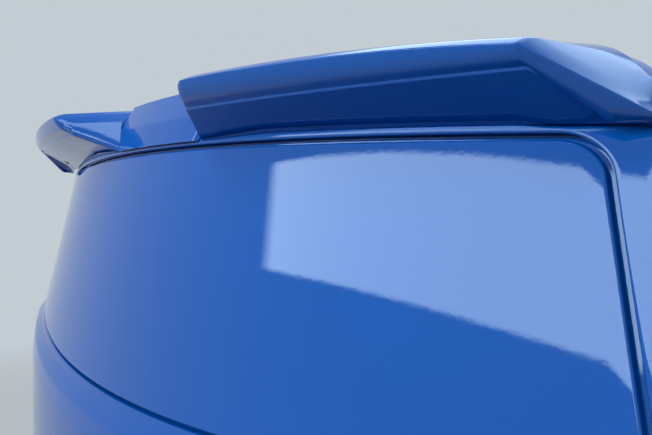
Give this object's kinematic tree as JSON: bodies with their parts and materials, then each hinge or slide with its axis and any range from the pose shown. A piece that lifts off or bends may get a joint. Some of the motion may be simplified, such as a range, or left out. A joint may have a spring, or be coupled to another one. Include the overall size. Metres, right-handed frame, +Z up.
{
  "type": "van tailgate with split spoiler",
  "caption": "Top-hung van tailgate in gloss blue: bowed outer skin, blank rear panel set in a groove, deep two-part spoiler split at the centre, hinges and gas struts.",
  "frame": {"origin": "middle of the hinge axis on the van's centre plane", "axes": "+Y towards the front of the van, +Z up, +X to the right seen from behind; the gate hangs closed below the origin"},
  "size_m": [1.592, 0.3588, 1.3096],
  "materials": {
    "body_paint": "deep gloss mid blue with clear coat",
    "inner_paint": "semi-gloss body colour without polish",
    "black_plastic": "fine grained matt black",
    "webbing": "woven black webbing",
    "rubber": "matt black",
    "steel": "zinc-plated satin",
    "strut_paint": "satin black",
    "lens": "clear ribbed lens"
  },
  "bodies": {
    "van_body_side": {"hinge_leaf_left": "steel", "hinge_leaf_right": "steel", "strut_bracket_left": "steel", "strut_bracket_right": "steel"},
    "tailgate": {"blank_panel": "body_paint", "buffer_left": "rubber", "buffer_right": "rubber", "handle_strip": "black_plastic", "hinge_arm_left": "steel", "hinge_arm_right": "steel", "inner_frame": "inner_paint", "inner_lining": "black_plastic", "latch": "steel", "outer_skin": "body_paint", "panel_seal": "rubber", "plate_lamp_left": "lens", "plate_lamp_right": "lens", "pull_strap": "webbing", "spoiler_centre": "body_paint", "spoiler_left": "body_paint", "spoiler_right": "body_paint", "strut_stud_left": "steel", "strut_stud_right": "steel", "window_rebate": "body_paint"},
    "strut_tube_left": {"strut_cylinder_left": "strut_paint"},
    "strut_piston_left": {"strut_rod_left": "steel"},
    "strut_tube_right": {"strut_cylinder_right": "strut_paint"},
    "strut_piston_right": {"strut_rod_right": "steel"}
  },
  "joints": [
    {"name": "tailgate_open", "type": "hinge", "parent": "van_body_side", "child": "tailgate", "pos_m": [0, 0, 0], "axis": [-1, 0, 0], "range_deg": [0, 85]},
    {"name": "strut_left_swing", "type": "hinge", "parent": "van_body_side", "child": "strut_tube_left", "pos_m": [-0.7272, 0.042, -0.6], "axis": [1, 0, 0], "range_deg": [0, 19.09]},
    {"name": "strut_left_slide", "type": "slide", "parent": "strut_tube_left", "child": "strut_piston_left", "axis": [0, -0.0673, 0.9977], "range_m": [0, 0.2157]},
    {"name": "strut_right_swing", "type": "hinge", "parent": "van_body_side", "child": "strut_tube_right", "pos_m": [0.7272, 0.042, -0.6], "axis": [1, 0, 0], "range_deg": [0, 19.09]},
    {"name": "strut_right_slide", "type": "slide", "parent": "strut_tube_right", "child": "strut_piston_right", "axis": [0, -0.0673, 0.9977], "range_m": [0, 0.2157]}
  ],
  "couplings": [
    {"joint": "strut_left_swing", "follows": "tailgate_open", "ratio": 0.22414},
    {"joint": "strut_left_slide", "follows": "tailgate_open", "m_per_rad": 0.14516},
    {"joint": "strut_right_swing", "follows": "tailgate_open", "ratio": 0.22414},
    {"joint": "strut_right_slide", "follows": "tailgate_open", "m_per_rad": 0.14516}
  ]
}
